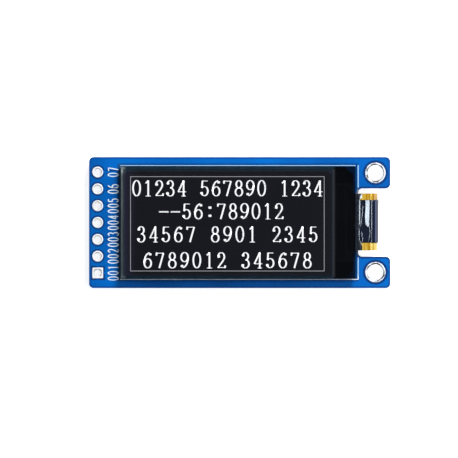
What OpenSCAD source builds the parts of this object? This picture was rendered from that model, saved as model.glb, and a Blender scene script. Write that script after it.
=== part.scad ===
// Small monochrome OLED display module. A two-pane glass panel sits on a blue circuit
// board, and its flex folds through a notch in the board's end and is soldered to the back.
// The module lies on its back, display up (+Z). The origin is on the resting plane,
// under the middle of the board. +X runs from the pin header to the flex. Millimetres.

/* [Board] */
// Length of the board left bare of the glass, at the header end
header_strip = 4.75; // [4.2:0.01:6]
// Width of the board outside the metal ring of a mounting hole
lug_side = 0.85; // [0.6:0.05:2]
// Width of the board between the notch and the metal ring of a mounting hole
lug_inner = 0.8; // [0.5:0.05:1.5]
// Length of the board beyond the metal ring of a mounting hole, at the flex end
lug_end = 0.7; // [0.5:0.05:2]
// Thickness of the bare board
board_t = 1.2; // [0.8:0.1:1.6]
// Radius of the board's outer corners
board_corner_r = 0.7; // [0.4:0.05:1.2]
// Gap between the flex and each side of the notch
notch_room = 0.85; // [0.5:0.05:1.2]
// Length of the notch, in from the flex end
notch_l = 4.84; // [4.4:0.02:5.2]
// Radius in the notch's inner corners
notch_r = 0.6; // [0.3:0.05:1]

/* [Plated holes] */
// Spacing of the header holes
header_pitch = 2.54; // [2.2:0.02:2.6]
// Distance of the header holes from the board's end
header_inset = 1.3; // [1.2:0.01:1.5]
// Finished diameter of a header hole
header_hole_d = 1.0; // [0.8:0.05:1.1]
// Diameter of a header pad, and the side of the square first pad
header_pad_d = 1.66; // [1.5:0.02:1.8]
// Finished diameter of a mounting hole
mount_hole_d = 2.4; // [2:0.1:2.6]
// Diameter of the bare metal ring round a mounting hole
mount_pad_d = 3.1; // [2.9:0.1:3.5]
// Wall of the plating in a hole
plating_t = 0.05; // [0.03:0.01:0.08]

/* [Copper and ink] */
// Thickness of the copper, with the lacquer over it
copper_t = 0.035; // [0.02:0.005:0.07]
// Bare margin between the copper fill and the board's edge
fill_margin = 0.28; // [0.2:0.02:0.4]
// Bare ring between a header pad and the copper fill
pad_gap = 0.25; // [0.2:0.01:0.3]
// Bare ring between a mounting pad and the copper fill
mount_gap = 0.35; // [0.25:0.01:0.38]
// Width of a conductor
track_w = 0.25; // [0.2:0.01:0.3]
// Bare strip along each side of a conductor
track_gap = 0.18; // [0.15:0.01:0.2]
// Thickness of the printed ink
ink_t = 0.02; // [0.01:0.005:0.04]
// Width of a printed line
ink_line = 0.2; // [0.12:0.01:0.25]
// Gap from the glass's long sides to the middle of the printed frame
frame_gap = 0.12; // [0:0.01:0.3]
// The same gap at the flex end
frame_gap_flex = 0.42; // [0.3:0.01:0.5]
// How far the printed frame runs in under the glass at the header end
frame_tuck = 0.06; // [0:0.01:0.3]

/* [Display panel] */
// Thickness of the front glass
front_glass_t = 0.55; // [0.4:0.05:0.7]
// Thickness of the rear glass
rear_glass_t = 0.55; // [0.5:0.05:0.7]
// Length of the front glass left bare of the rear glass, for the chip and the flex
ledge_l = 3.2; // [3:0.1:3.6]
// Distance of the front glass from the notch
glass_setback = 0.41; // [0.2:0.01:0.6]
// Thickness of the glue line between the panes
seal_t = 0.02; // [0.01:0.005:0.04]
// Width of the glue line
seal_w = 0.7; // [0.5:0.05:0.8]
// Depth of the pocket etched into the rear glass
pocket_depth = 0.25; // [0.2:0.01:0.3]
// Thickness of the drying sheet in the pocket
drying_sheet_t = 0.15; // [0.1:0.01:0.18]
// Thickness of the polarizer
film_t = 0.2; // [0.15:0.01:0.25]
// Strip of glass left bare at the polarizer's header end
film_margin = 0.4; // [0.2:0.01:0.5]
// Strip of glass left bare along each long side of the polarizer
film_side = 0.44; // [0.2:0.01:0.6]
// Thickness of the tape under the panel
tape_t = 0.3; // [0.2:0.05:0.5]
// Distance of the tape's edges from the rear glass's edges
tape_inset = 0.8; // [0.5:0.05:1.2]

/* [Image] */
// Length of the lit image
image_l = 29.3; // [25:0.1:40]
// Width of the lit image
image_w = 14.35; // [12:0.05:15.5]
// Distance of the image from the header end of the glass
image_margin = 1.52; // [1.2:0.01:2]
// Distance of the image from the rear glass's flex end
image_end = 1.48; // [1.2:0.01:2]
// Distance of the image from the nearer long side of the glass
image_side = 1.135; // [1.05:0.005:1.6]
// Shift of the image off the glass's middle line, away from the labelled side
image_shift = 0.19; // [0:0.01:0.25]
// Width of the lit line round the image
image_line = 0.14; // [0.1:0.01:0.2]
// Thickness of each layer of the pixel stack
layer_t = 0.01; // [0.005:0.001:0.01]
// Pixels along the image
pixels_l = 128; // [96:32:160]
// Pixels across the image
pixels_w = 64; // [48:16:96]
// Pixels across a lit digit
digit_pixels_w = 6; // [5:1:7]
// Pixels up a lit digit
digit_pixels_h = 11; // [9:2:13]
// Width of a lit digit's stroke
digit_stroke = 0.34; // [0.2:0.02:0.4]

/* [Chip and flex] */
// Length of the driver chip, across the panel
chip_l = 11.0; // [9:0.5:13]
// Width of the driver chip
chip_w = 1.1; // [0.9:0.05:1.2]
// Thickness of the driver chip
chip_t = 0.3; // [0.2:0.02:0.35]
// Thickness of the resin that covers the chip
resin_over_chip = 0.06; // [0.04:0.01:0.1]
// Strip of ledge left clear of resin along the glass's end
resin_setback = 0.35; // [0.1:0.05:0.5]
// Cut across the resin's corners at the flex end
resin_chamfer = 1.2; // [0.6:0.05:1.4]
// Width of the flex
flex_w = 8.6; // [8.5:0.05:8.8]
// Shift of the flex off the board's middle line
flex_shift = 0.09; // [0:0.01:0.2]
// Thickness of the flex
flex_t = 0.1; // [0.07:0.01:0.12]
// How far the fold reaches past the notch's inner edge
flex_reach = 2.9; // [2.6:0.02:3.6]
// Overlap of the flex and the front glass
flex_overlap = 1.2; // [1:0.05:1.3]
// Thickness of the bonding film between the flex and the glass
bond_t = 0.02; // [0.01:0.005:0.03]
// Length of the flex under the board, from the notch's inner edge
tail_l = 4.6; // [4.2:0.1:5.2]
// Width of the dark cover film on the flex
cover_w = 6.47; // [6:0.05:7]
// Thickness of the cover film
cover_t = 0.05; // [0.02:0.005:0.06]
// How far the cover film stands off the flex at the fold
cover_slack = 0.12; // [0:0.01:0.3]
// Shift of the cover film off the flex's middle line
cover_shift = 0.1; // [0:0.01:0.2]
// Bare flex outside the outermost fingers
finger_margin = 0.1; // [0.05:0.01:0.3]
// Width of a finger
finger_w = 0.34; // [0.28:0.01:0.38]
// Length of a finger
finger_l = 1.8; // [1.2:0.05:2]
// Thickness of a finger
finger_t = 0.03; // [0.02:0.005:0.04]
// Length of the glue bead along the glass, out from its edge
bead_l = 0.95; // [0.7:0.05:1.1]
// Height of the glue bead against the glass
bead_h = 0.5; // [0.3:0.02:0.55]
// Distance of the glue bead's ends from the flex's edges
bead_margin = 0.02; // [0:0.01:0.3]

/* [Back components] */
// Length of a chip capacitor or resistor
chip_part_l = 1.6; // [1.5:0.05:1.7]
// Width of a chip capacitor or resistor
chip_part_w = 0.8; // [0.7:0.02:0.85]
// Height of a capacitor
capacitor_h = 0.8; // [0.6:0.02:0.85]
// Height of a resistor
resistor_h = 0.45; // [0.35:0.02:0.55]
// Length of a metal end on a capacitor or resistor
terminal_l = 0.3; // [0.2:0.02:0.35]
// How far the metal ends stand out round the body
terminal_skin = 0.02; // [0.01:0.005:0.03]
// Length of the regulator's body
regulator_l = 2.9; // [2.8:0.02:3]
// Width of the regulator's body
regulator_w = 1.3; // [1.2:0.02:1.4]
// Height of the regulator over its pads
regulator_h = 1.1; // [0.95:0.01:1.2]
// Gap between the regulator's body and the pads
regulator_gap = 0.1; // [0.04:0.01:0.12]
// Distance across the regulator's leads, tip to tip
lead_span = 2.4; // [2.3:0.02:2.6]
// Spacing of the regulator's paired leads
lead_pitch = 1.9; // [1.8:0.02:2]
// Width of a lead
lead_w = 0.4; // [0.3:0.01:0.5]
// Thickness of a lead
lead_t = 0.13; // [0.1:0.01:0.16]
// How far a solder fillet runs out from a metal end
fillet_l = 0.32; // [0.2:0.02:0.4]
// How far a solder fillet climbs a metal end
fillet_h = 0.3; // [0.2:0.02:0.4]

/* [Hidden] */
$fn = 24;

// Overlap that keeps cuts from ending on a face
cut = 0.1;

// Heights above the resting plane, which the regulator touches
under_z = regulator_h;
board_z = under_z + copper_t;
top_z = board_z + board_t;
skin_z = top_z + copper_t;
rear_glass_z = skin_z + tape_t;
seal_z = rear_glass_z + rear_glass_t;
front_glass_z = seal_z + seal_t;
film_z = front_glass_z + front_glass_t;

// Panel: the panes and the polarizer follow from the image and its borders
rear_l = image_margin + image_l + image_end;
glass_l = rear_l + ledge_l;
glass_w = image_w + 2 * (image_side + image_shift);
film_l = rear_l - film_margin;
film_w = glass_w - 2 * film_side;

// Board: its length follows from the panel, its width from the flex and the mounting holes
board_l = header_strip + glass_l + glass_setback + notch_l;
notch_w = flex_w + 2 * notch_room;
mount_spacing = notch_w + 2 * lug_inner + mount_pad_d;
board_w = mount_spacing + mount_pad_d + 2 * lug_side;

// Places along the board
notch_x = board_l / 2 - notch_l;
header_x = -board_l / 2 + header_inset;
mount_x = board_l / 2 - lug_end - mount_pad_d / 2;
glass_x1 = notch_x - glass_setback;
glass_x0 = glass_x1 - glass_l;
rear_x1 = glass_x1 - ledge_l;
film_x0 = glass_x0 + film_margin;

// The header's holes, the first at the negative end of Y
header_pins = 7;
function header_y(n) = (n - (header_pins + 1) / 2) * header_pitch;

// The lit image and the sheet of pixels behind it
image_x0 = glass_x0 + image_margin;
image_x = image_x0 + image_l / 2;
image_y = -image_shift;
matrix_border = 0.15;
seal_inset = 0.1;

// Rows of lit digits, each as [digits, place of its middle from the image's, spacing], in pixels
digit_rows = [
    ["01234 567890 1234", [0, 24], 7.5],
    ["--56:789012", [-4, 8.5], 7.6],
    ["34567 8901 2345", [0, -7], 8.1],
    ["6789012 345678", [0, -24.5], 8.1]];
pixel = [image_l / pixels_l, image_w / pixels_w];
digit_w = digit_pixels_w * pixel[0];
digit_h = digit_pixels_h * pixel[1];

// The flex folds from under the front glass round to the board's back
flex_top_z = front_glass_z - bond_t;
fold_r = (flex_top_z - under_z + flex_t) / 2;
fold_x = notch_x + flex_reach - fold_r;
fold_z = flex_top_z - fold_r;
tail_x = notch_x - tail_l;
bond_x0 = glass_x1 - flex_overlap;
fingers = 14;
finger_pitch = (flex_w - finger_w - 2 * finger_margin) / (fingers - 1);
function finger_y(n) = flex_shift + (n - (fingers - 1) / 2) * finger_pitch;
cover_gap = 0.4;
cover_tail_x = tail_x + finger_l + cover_gap;
cover_x0 = glass_x1 + 0.06;

// Chip and resin under the bare ledge of the front glass
chip_x = rear_x1 + (ledge_l - flex_overlap) / 2;
resin_t = chip_t + resin_over_chip;
resin_margin = 0.15;

// Bare strip of the pocket's floor round the drying sheet
drying_margin = 1.2;

// Lands: bare copper where parts are soldered to the back
land_l = 0.8;
land_w = 0.9;
land_gap = 0.2;
land_shift = 0.25;
land_spread = chip_part_l - terminal_l + land_shift;
flex_land_l = 1;
flex_land_x0 = tail_x - flex_land_l;
flex_land_x1 = tail_x + finger_l;

// Two columns of parts beside the flex's lands
column_pitch = 2.1;
capacitor_setback = 4.2;
resistor_setback = 4.4;
capacitor_x = flex_land_x0 - capacitor_setback;
resistor_x = capacitor_x - resistor_setback;

// The supply and two more resistors, set out from the header
input_x = header_x + 4.8;
input_y = header_y(2) + 0.9;
regulator_x = input_x + 4;
output_x = regulator_x + 3.4;
supply_y = header_y(3) - 0.66;
resistor_x_2 = header_x + 5.9;

// Parts on the back, each as [x, y, angle]
capacitor_places = [
    for (n = [0:5]) [capacitor_x, (n - 2.5) * column_pitch, 0],
    [input_x, input_y, 90],
    [output_x, supply_y, 0]];
resistor_places = [
    for (n = [0:3]) [resistor_x, (n - 1.5) * column_pitch, 0],
    for (n = [6, 7]) [resistor_x_2, header_y(n) - 0.6, 0]];
chip_places = concat(capacitor_places, resistor_places);
regulator_place = [regulator_x, supply_y];
lead_inset = 0.2;
lead_x = lead_span / 2 - lead_inset;
lead_places = [[-lead_x, -lead_pitch / 2], [-lead_x, lead_pitch / 2], [lead_x, 0]];

module box2(x0, x1, y0, y1) {
    translate([x0, y0]) square([x1 - x0, y1 - y0]);
}

module slab(z, t) {
    translate([0, 0, z]) linear_extrude(t) children();
}

// Turns a profile drawn in X and Z into a bar of width w, with its middle at y
module bar_across(w, y = 0) {
    translate([0, y + w / 2, 0]) rotate([90, 0, 0]) linear_extrude(w) children();
}

// The sliver between a square corner at the origin and its rounding, in the +X +Y quarter
module corner_sliver(r) {
    difference() {
        translate([-cut, -cut]) square(r + cut);
        translate([r, r]) circle(r);
    }
}

// Board outline, with its edge moved in by inset
module board_outline(inset = 0) {
    l = board_l - 2 * inset;
    w = board_w - 2 * inset;
    r = board_corner_r - inset;
    nx = notch_x - inset;
    nw = notch_w + 2 * inset;
    difference() {
        union() {
            difference() {
                square([l, w], center = true);
                box2(nx, l, -nw / 2, nw / 2);
            }
            for (s = [0, 1])
                mirror([0, s]) translate([nx, -nw / 2]) corner_sliver(notch_r + inset);
        }
        for (sx = [0, 1], sy = [0, 1])
            mirror([sx, 0]) mirror([0, sy]) translate([-l / 2, -w / 2]) corner_sliver(r);
        for (s = [0, 1])
            mirror([0, s]) translate([l / 2, nw / 2]) mirror([1, 0]) corner_sliver(r);
    }
}

// Points of a route, without repeats
function distinct(p) = [for (i = [0:len(p) - 1]) if (i == 0 || norm(p[i] - p[i - 1]) > 0.001) p[i]];
function heading(p, i) = let (d = p[i + 1] - p[i]) atan2(d[1], d[0]);

// One side of a strip of half-width h along points p, mitred at the bends
function strip_side(p, h) = [
    for (i = [0:len(p) - 1])
        let (a = heading(p, max(i - 1, 0)), b = heading(p, min(i, len(p) - 2)), m = (a + b) / 2)
        p[i] + h / cos((b - a) / 2) * [-sin(m), cos(m)]];

// Conductor or printed line of width w along a row of points
module track(points, w) {
    p = distinct(points);
    right = strip_side(p, -w / 2);
    left = strip_side(p, w / 2);
    polygon(concat(left, [for (i = [len(p) - 1:-1:0]) right[i]]));
}

module tracks(routes, w) {
    for (r = routes) track(r, w);
}

// Outlines of the plated holes' bare metal, grown by gap
module plated_outlines(pad_grow, mount_grow) {
    for (n = [1:header_pins])
        translate([header_x, header_y(n)])
            if (n == 1) square(header_pad_d + 2 * pad_grow, center = true);
            else circle(d = header_pad_d + 2 * pad_grow);
    for (s = [-1, 1])
        translate([mount_x, s * mount_spacing / 2]) circle(d = mount_pad_d + 2 * mount_grow);
}

// Conductors on the front, from the header's signal pads to under the glass
front_routes = [
    for (n = [3, 5, 6, 7])
        let (y = header_y(n), bend = n == 6 ? 0.3 : 0, x = header_x + header_pad_d)
        [[header_x, y], [x, y], [x + bend, y - bend], [glass_x0 + 1, y - bend]]];

// Widening of a conductor where it meets its pad
module teardrops() {
    for (n = [3, 5, 6, 7])
        translate([header_x, header_y(n)])
            polygon([[0, -0.36 * header_pad_d], [0.85 * header_pad_d, -track_w / 2],
                [0.85 * header_pad_d, track_w / 2], [0, 0.36 * header_pad_d]]);
}

module front_copper() {
    color("#0f66ba") slab(top_z, copper_t) {
        difference() {
            board_outline(fill_margin);
            plated_outlines(pad_gap, mount_gap);
            tracks(front_routes, track_w + 2 * track_gap);
        }
        difference() {
            union() {
                tracks(front_routes, track_w);
                teardrops();
            }
            plated_outlines(0, 0);
        }
        ground_spokes();
    }
}

// Bridges that join the first pad to the fill
module ground_spokes() {
    for (a = [0, 90, 270])
        translate([header_x, header_y(1)]) rotate(a)
            box2(header_pad_d / 2, header_pad_d / 2 + pad_gap + cut, -track_w / 2, track_w / 2);
}

// Lands of the chip parts and the regulator, grown by gap
module land_outlines(gap = 0) {
    for (p = chip_places)
        translate([p[0], p[1]]) rotate(p[2])
            for (s = [-1, 1])
                translate([s * land_spread / 2, 0])
                    square([land_l + 2 * gap, land_w + 2 * gap], center = true);
    for (p = lead_places)
        translate(regulator_place + p)
            square([land_l + 2 * gap, land_l + 2 * gap], center = true);
}

module flex_land_outlines() {
    for (n = [0:fingers - 1])
        box2(flex_land_x0, flex_land_x1, finger_y(n) - finger_w / 2, finger_y(n) + finger_w / 2);
}

// Straight, then at 45 degrees, then straight again: from a towards lower X, and to b
function stepped(a, b, run) =
    let (x = a[0] - run, dy = abs(b[1] - a[1]))
    [a, [x, a[1]], [x - dy, b[1]], b];

// Fingers that feed the column of capacitors; the others end in a plated-through dot
fed = [0, 2, 5, 8, 11, 13];
dot_d = 0.5;
dot_x = flex_land_x0 - 0.7;
function is_fed(n) = len([for (f = fed) if (f == n) f]) > 0;
function end_of(p, side) =
    [p[0], p[1]] + side * land_spread / 2 * [cos(p[2]), sin(p[2])];
function lead_end(n) = regulator_place + lead_places[n];
back_routes = concat(
    [for (i = [0:len(fed) - 1])
        stepped([flex_land_x0 + 0.1, finger_y(fed[i])], end_of(capacitor_places[i], 1), 0.9)],
    [for (i = [1:4])
        stepped(end_of(capacitor_places[i], -1), end_of(resistor_places[i - 1], 1), 0.7)],
    [
        stepped(end_of(capacitor_places[6], -1), [header_x, header_y(2)], 1),
        stepped(lead_end(0), end_of(capacitor_places[6], -1), 0.8),
        stepped(end_of(capacitor_places[7], -1), lead_end(2), 0.2),
        stepped(end_of(resistor_places[4], -1), [header_x, header_y(5)], 0.6),
        stepped(end_of(resistor_places[5], -1), [header_x, header_y(7)], 1)]);

// Stubs and dots of the fingers that feed nothing on this face
module finger_stubs() {
    for (n = [0:fingers - 1]) if (!is_fed(n)) {
        track([[flex_land_x0 + 0.1, finger_y(n)], [dot_x, finger_y(n)]], track_w);
        translate([dot_x, finger_y(n)]) circle(d = dot_d);
    }
}

module back_copper() {
    color("#0f66ba") slab(under_z, copper_t) {
        difference() {
            board_outline(fill_margin);
            plated_outlines(pad_gap, mount_gap);
            land_outlines(land_gap);
            box2(dot_x - dot_d, flex_land_x1 + land_gap, finger_y(0) - finger_pitch,
                finger_y(fingers - 1) + finger_pitch);
            tracks(back_routes, track_w + 2 * track_gap);
        }
        difference() {
            union() {
                tracks(back_routes, track_w);
                finger_stubs();
            }
            plated_outlines(0, 0);
            land_outlines();
            flex_land_outlines();
        }
        ground_spokes();
    }
}

module circuit_board() {
    color("#0b3f86") slab(board_z, board_t) difference() {
        board_outline();
        for (n = [1:header_pins])
            translate([header_x, header_y(n)]) circle(d = header_hole_d + 2 * plating_t);
        for (s = [-1, 1])
            translate([mount_x, s * mount_spacing / 2]) circle(d = mount_hole_d + 2 * plating_t);
    }
}

// Printed frame round the glass; the notch breaks its side at the flex end
module front_ink() {
    x0 = glass_x0 + frame_tuck;
    x1 = glass_x1 + frame_gap_flex;
    y = glass_w / 2 + frame_gap;
    y_notch = (notch_w + fill_margin) / 2;
    color("white") slab(skin_z, ink_t) {
        track([[x1 - 2 * ink_line, y], [x0, y], [x0, -y], [x1, -y], [x1, -y_notch]], ink_line);
        track([[x1, y + ink_line / 2], [x1, y_notch]], ink_line);
    }
}

// Marks beside each part on the back, and a dot at the first pin
module back_ink() {
    mark_y = land_w / 2 + 0.2;
    color("white") slab(under_z - ink_t, ink_t) {
        for (p = chip_places)
            translate([p[0], p[1]]) rotate(p[2])
                for (s = [-1, 1])
                    track([[-chip_part_l / 2, s * mark_y], [chip_part_l / 2, s * mark_y]],
                        ink_line);
        translate(regulator_place)
            for (s = [-1, 1]) {
                y = s * (regulator_l / 2 + 0.2);
                track([[-regulator_w / 2, y], [regulator_w / 2, y]], ink_line);
            }
        translate([header_x + 1.6, header_y(1)]) circle(d = 0.5);
    }
}

// Plated barrel with a flange on each face of the board
module plated_hole(x, y, hole_d, flange_d, is_square = false) {
    color("silver") translate([x, y, under_z]) difference() {
        union() {
            cylinder(d = hole_d + 2 * plating_t, h = skin_z - under_z);
            for (z = [0, skin_z - under_z - copper_t])
                translate([0, 0, z]) linear_extrude(copper_t)
                    if (is_square) square(flange_d, center = true);
                    else circle(d = flange_d);
        }
        translate([0, 0, -cut]) cylinder(d = hole_d, h = skin_z - under_z + 2 * cut);
    }
}

module header_pad(n) {
    plated_hole(header_x, header_y(n), header_hole_d, header_pad_d, n == 1);
}

module mounting_pad(side) {
    plated_hole(mount_x, side * mount_spacing / 2, mount_hole_d, mount_pad_d);
}

module component_lands() {
    color("silver") slab(under_z, copper_t) land_outlines();
}

module flex_lands() {
    color("silver") slab(under_z, copper_t) flex_land_outlines();
}

module front_glass() {
    color("#8fa6a8", 0.4) slab(front_glass_z, front_glass_t)
        box2(glass_x0, glass_x1, -glass_w / 2, glass_w / 2);
}

module polarizer() {
    color("#1c1d22") slab(film_z, film_t)
        box2(film_x0, film_x0 + film_l, -film_w / 2, film_w / 2);
}

// Seven-bar digit in a cell of digit_w by digit_h, with its middle at the origin
bars_of = [[1, 1, 1, 0, 1, 1, 1], [0, 0, 1, 0, 0, 1, 0], [1, 0, 1, 1, 1, 0, 1],
    [1, 0, 1, 1, 0, 1, 1], [0, 1, 1, 1, 0, 1, 0], [1, 1, 0, 1, 0, 1, 1],
    [1, 1, 0, 1, 1, 1, 1], [1, 0, 1, 0, 0, 1, 0], [1, 1, 1, 1, 1, 1, 1],
    [1, 1, 1, 1, 0, 1, 1]];
module lit_glyph(glyph) {
    w = digit_w / 2;
    h = digit_h / 2;
    s = digit_stroke;
    value = search(glyph, "0123456789");
    if (len(value) > 0) {
        bar = bars_of[value[0]];
        if (bar[0] == 1) box2(-w, w, h - s, h);
        if (bar[1] == 1) box2(-w, s - w, 0, h);
        if (bar[2] == 1) box2(w - s, w, 0, h);
        if (bar[3] == 1) box2(-w, w, -s / 2, s / 2);
        if (bar[4] == 1) box2(-w, s - w, -h, 0);
        if (bar[5] == 1) box2(w - s, w, -h, 0);
        if (bar[6] == 1) box2(-w, w, -h, s - h);
    } else if (glyph == "-") box2(-w, w, -s / 2, s / 2);
    else if (glyph == ":") for (y = [-h / 2, h / 2]) box2(-s / 2, s / 2, y - s / 2, y + s / 2);
}

// A thin line round the image, and rows of digits
module lit_image() {
    color("white") slab(front_glass_z - layer_t, layer_t) {
        translate([image_x, image_y]) difference() {
            square([image_l, image_w], center = true);
            square([image_l - 2 * image_line, image_w - 2 * image_line], center = true);
        }
        for (row = digit_rows, i = [0:len(row[0]) - 1])
            translate([image_x + (row[1][0] + (i - (len(row[0]) - 1) / 2) * row[2]) * pixel[0],
                image_y + row[1][1] * pixel[1]])
                lit_glyph(row[0][i]);
    }
}

module pixel_matrix() {
    color("#15161a") slab(seal_z, layer_t)
        translate([image_x, image_y])
            square([image_l + 2 * matrix_border, image_w + 2 * matrix_border], center = true);
}

// Outline of the rear glass, with its edge moved in by inset
module rear_outline(inset = 0) {
    box2(glass_x0 + inset, rear_x1 - inset, inset - glass_w / 2, glass_w / 2 - inset);
}

module edge_seal() {
    color("#9aa39a") slab(seal_z, seal_t) difference() {
        rear_outline(seal_inset);
        rear_outline(seal_inset + seal_w);
    }
}

module rear_glass() {
    color("#7d9492", 0.5) difference() {
        slab(rear_glass_z, rear_glass_t) rear_outline();
        slab(seal_z - pocket_depth, pocket_depth + cut) rear_outline(seal_inset + seal_w);
    }
}

// Drying sheet, stuck to the floor of the rear glass's pocket
module drying_sheet() {
    color("#e8e6df") slab(seal_z - pocket_depth, drying_sheet_t)
        rear_outline(seal_inset + seal_w + drying_margin);
}

module mounting_tape() {
    color("#d9d7d0") slab(skin_z, tape_t) rear_outline(tape_inset);
}

module driver_chip() {
    color("#3a3d44") slab(front_glass_z - chip_t, chip_t)
        translate([chip_x, 0]) square([chip_w, chip_l], center = true);
}

// Black resin under the ledge: it buries the chip and the end of the flex
module ledge_resin() {
    x1 = glass_x1 - resin_setback;
    xc = x1 - resin_chamfer;
    y = glass_w / 2 - resin_margin;
    yc = y - resin_chamfer;
    color("#0d0e10") difference() {
        slab(front_glass_z - resin_t, resin_t)
            polygon([[rear_x1, -y], [xc, -y], [x1, -yc], [x1, yc], [xc, y], [rear_x1, y]]);
        slab(front_glass_z - chip_t, chip_t + cut)
            translate([chip_x, 0]) square([chip_w, chip_l], center = true);
        slab(flex_top_z - flex_t, flex_t + bond_t + cut)
            box2(bond_x0, glass_x1, flex_shift - flex_w / 2, flex_shift + flex_w / 2);
    }
}

// Folded strip t thick whose outer face has radius r round a fold at x
module folded_strip(x_top, x_tail, x, r, t) {
    difference() {
        translate([x, fold_z]) circle(r);
        translate([x, fold_z]) circle(r - t);
        box2(x - r - cut, x, fold_z - r - cut, fold_z + r + cut);
    }
    box2(x_top, x, fold_z + r - t, fold_z + r);
    box2(x_tail, x, fold_z - r, fold_z - r + t);
}

module flex_circuit() {
    color("#d69a4a") bar_across(flex_w, flex_shift)
        folded_strip(bond_x0, tail_x, fold_x, fold_r, flex_t);
}

module flex_cover() {
    color("#14161b") bar_across(cover_w, flex_shift + cover_shift)
        folded_strip(cover_x0, cover_tail_x, fold_x + cover_slack, fold_r + cover_t, cover_t);
}

module flex_bond() {
    color("#6b6a60") slab(flex_top_z, bond_t)
        box2(bond_x0, glass_x1, flex_shift - flex_w / 2, flex_shift + flex_w / 2);
}

module flex_fingers() {
    color("silver") slab(under_z - flex_t - finger_t, finger_t)
        for (n = [0:fingers - 1])
            box2(tail_x, tail_x + finger_l, finger_y(n) - finger_w / 2, finger_y(n) + finger_w / 2);
}

// Solder that climbs from each land over the end of the flex
module flex_solder() {
    color("silver") for (n = [0:fingers - 1])
        bar_across(finger_w, finger_y(n))
            polygon([[tail_x, under_z], [tail_x, under_z - flex_t - finger_t],
                [tail_x - 0.3, under_z - 0.6 * flex_t], [flex_land_x0 + 0.1, under_z]]);
}

// Clear glue in the corner between the flex and the end of the front glass
module glue_bead() {
    r = (bead_l * bead_l + bead_h * bead_h) / (2 * bead_h);
    color("#cfd6d6", 0.5) difference() {
        bar_across(flex_w - 2 * bead_margin, flex_shift)
            translate([glass_x1, flex_top_z]) intersection() {
                box2(0, bead_l, 0, r);
                translate([0, bead_h - r]) circle(r);
            }
        translate([glass_x1, flex_shift + cover_shift - cover_w / 2, flex_top_z - cut])
            cube([bead_l + cut, cover_w, cut + cover_t]);
    }
}

// Places children on the back at [x, y, angle], with their +Z towards the board
module on_back(place) {
    translate([place[0], place[1], under_z]) rotate(place[2]) children();
}

module chip_body(place, h) {
    l = chip_part_l - 2 * terminal_l;
    w = chip_part_w - 2 * terminal_skin;
    on_back(place) translate([-l / 2, -w / 2, terminal_skin - h])
        cube([l, w, h - 2 * terminal_skin]);
}

module chip_ends(place, h) {
    on_back(place) for (s = [0, 1])
        mirror([s, 0, 0]) translate([chip_part_l / 2 - terminal_l, -chip_part_w / 2, -h])
            cube([terminal_l, chip_part_w, h]);
}

module capacitor(n) {
    color("#b08a5e") chip_body(capacitor_places[n - 1], capacitor_h);
}

module resistor(n) {
    color("#17181a") chip_body(resistor_places[n - 1], resistor_h);
}

module capacitor_ends() {
    color("silver") for (p = capacitor_places) chip_ends(p, capacitor_h);
}

module resistor_ends() {
    color("silver") for (p = resistor_places) chip_ends(p, resistor_h);
}

// Profile across the regulator's body: w wide, with a parting line at its widest
module drafted_profile(w) {
    h = regulator_h - regulator_gap;
    draft = 0.08;
    polygon([[draft - w / 2, 0], [w / 2 - draft, 0], [w / 2, h / 2], [w / 2 - draft, h],
        [draft - w / 2, h], [-w / 2, h / 2]]);
}

module regulator_body() {
    color("#1d1e20") translate(regulator_place) intersection() {
        bar_across(regulator_l + 1) drafted_profile(regulator_w);
        rotate(90) bar_across(regulator_w + 1) drafted_profile(regulator_l);
    }
}

// Leads that leave the body at its parting line and stand on the lands
module regulator_leads() {
    mid_z = (regulator_h - regulator_gap) / 2;
    x0 = regulator_w / 2;
    x1 = lead_span / 2;
    foot = 0.3;
    color("silver") translate(regulator_place)
        for (p = lead_places)
            mirror([p[0] < 0 ? 1 : 0, 0, 0]) bar_across(lead_w, p[1])
                polygon([[x0, mid_z - lead_t / 2], [x0 + 0.16, mid_z - lead_t / 2],
                    [x1 - foot, under_z - lead_t], [x1, under_z - lead_t], [x1, under_z],
                    [x1 - foot - 0.05, under_z], [x0 + 0.1, mid_z + lead_t / 2],
                    [x0, mid_z + lead_t / 2]]);
}

// Fillets of solder at the outer end of every metal end and lead
module fillet(x, w, h) {
    translate([0, 0, under_z]) bar_across(w)
        polygon([[x, 0], [x + fillet_l, 0], [x + 0.3 * fillet_l, -0.35 * h], [x, -h]]);
}

module component_solder() {
    color("silver") {
        for (p = chip_places)
            translate([p[0], p[1]]) rotate(p[2]) for (s = [0, 1])
                mirror([s, 0, 0]) fillet(chip_part_l / 2, chip_part_w, fillet_h);
        translate(regulator_place) for (p = lead_places)
            mirror([p[0] < 0 ? 1 : 0, 0, 0]) translate([0, p[1], 0])
                fillet(lead_span / 2, lead_w, lead_t);
    }
}

circuit_board();
front_copper();
back_copper();
front_ink();
back_ink();
header_pad(1);  // header_pad_1
header_pad(2);  // header_pad_2
header_pad(3);  // header_pad_3
header_pad(4);  // header_pad_4
header_pad(5);  // header_pad_5
header_pad(6);  // header_pad_6
header_pad(7);  // header_pad_7
mounting_pad(1);  // mounting_pad_upper
mounting_pad(-1);  // mounting_pad_lower
component_lands();
flex_lands();
front_glass();
polarizer();
lit_image();
pixel_matrix();
edge_seal();
drying_sheet();
rear_glass();
driver_chip();
ledge_resin();
mounting_tape();
flex_circuit();
flex_cover();
flex_bond();
flex_fingers();
flex_solder();
glue_bead();
regulator_body();
regulator_leads();
capacitor(1);  // capacitor_1
capacitor(2);  // capacitor_2
capacitor(3);  // capacitor_3
capacitor(4);  // capacitor_4
capacitor(5);  // capacitor_5
capacitor(6);  // capacitor_6
capacitor(7);  // capacitor_7
capacitor(8);  // capacitor_8
resistor(1);  // resistor_1
resistor(2);  // resistor_2
resistor(3);  // resistor_3
resistor(4);  // resistor_4
resistor(5);  // resistor_5
resistor(6);  // resistor_6
capacitor_ends();
resistor_ends();
component_solder();
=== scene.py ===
import math

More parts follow.
